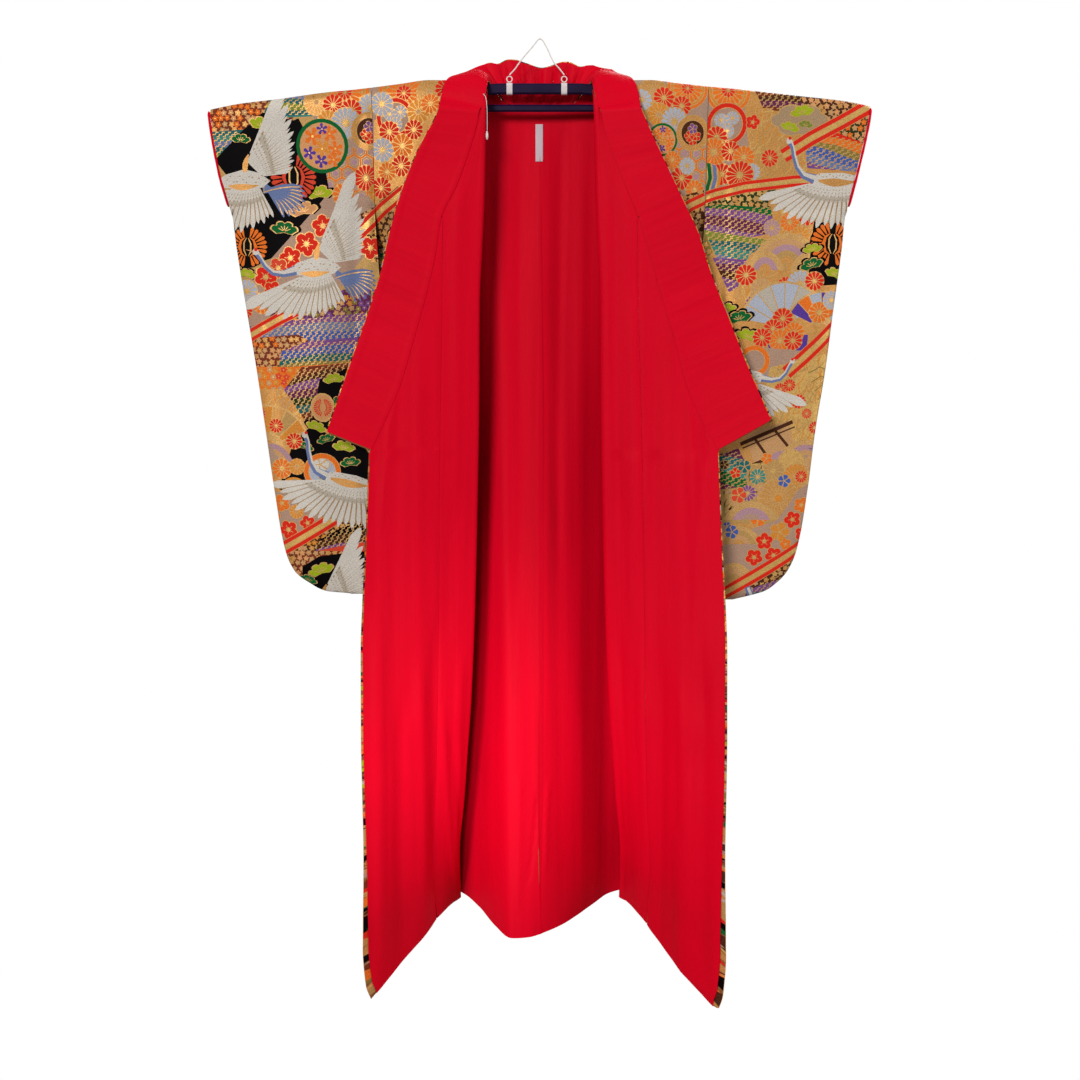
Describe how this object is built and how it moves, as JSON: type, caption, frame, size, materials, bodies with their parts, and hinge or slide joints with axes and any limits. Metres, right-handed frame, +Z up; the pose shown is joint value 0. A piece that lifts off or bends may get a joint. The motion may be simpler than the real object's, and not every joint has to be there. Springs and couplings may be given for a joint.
{
  "type": "uchikake wedding kimono on a two-bar kimono hanger",
  "caption": "Long-sleeved brocade overgarment hung open, its fronts folded back to show a plain silk lining, gathered standing collar, on a straight two-bar hanger with a cord",
  "frame": {"origin": "the hang point: the apex of the hanger's white cord, where the part hangs from a hook", "axes": "+Z up, +X to the viewer's right, -Y towards the viewer, so the open front faces -Y"},
  "size_m": [1.3637, 0.4993, 1.9738],
  "materials": {
    "brocade": "gold and orange silk brocade with woven motifs",
    "lining": "plain vivid red silk",
    "hanger": "dark navy purple, satin",
    "white": "white tape and cord"
  },
  "bodies": {
    "root": {"body_back_left": "brocade", "body_front_left": "brocade", "body_back_right": "brocade", "body_front_right": "brocade", "okumi_left": "brocade", "okumi_right": "brocade", "collar": "brocade", "sleeve_left": "brocade", "sleeve_right": "brocade", "back_lining_left": "lining", "back_lining_right": "lining", "front_lining_left": "lining", "front_lining_right": "lining", "okumi_lining_left": "lining", "okumi_lining_right": "lining", "collar_lining": "lining", "cuff_roll_left_front": "lining", "cuff_roll_left_back": "lining", "cuff_roll_right_front": "lining", "cuff_roll_right_back": "lining", "hanger_arm": "hanger", "hanger_lower_bar": "hanger", "hanger_post_left": "hanger", "hanger_post_right": "hanger", "tape_left": "white", "tape_right": "white", "ring_left": "white", "ring_right": "white", "hang_cord": "white", "label": "white", "pull_thread": "white", "thread_knot": "white"}
  },
  "joints": []
}
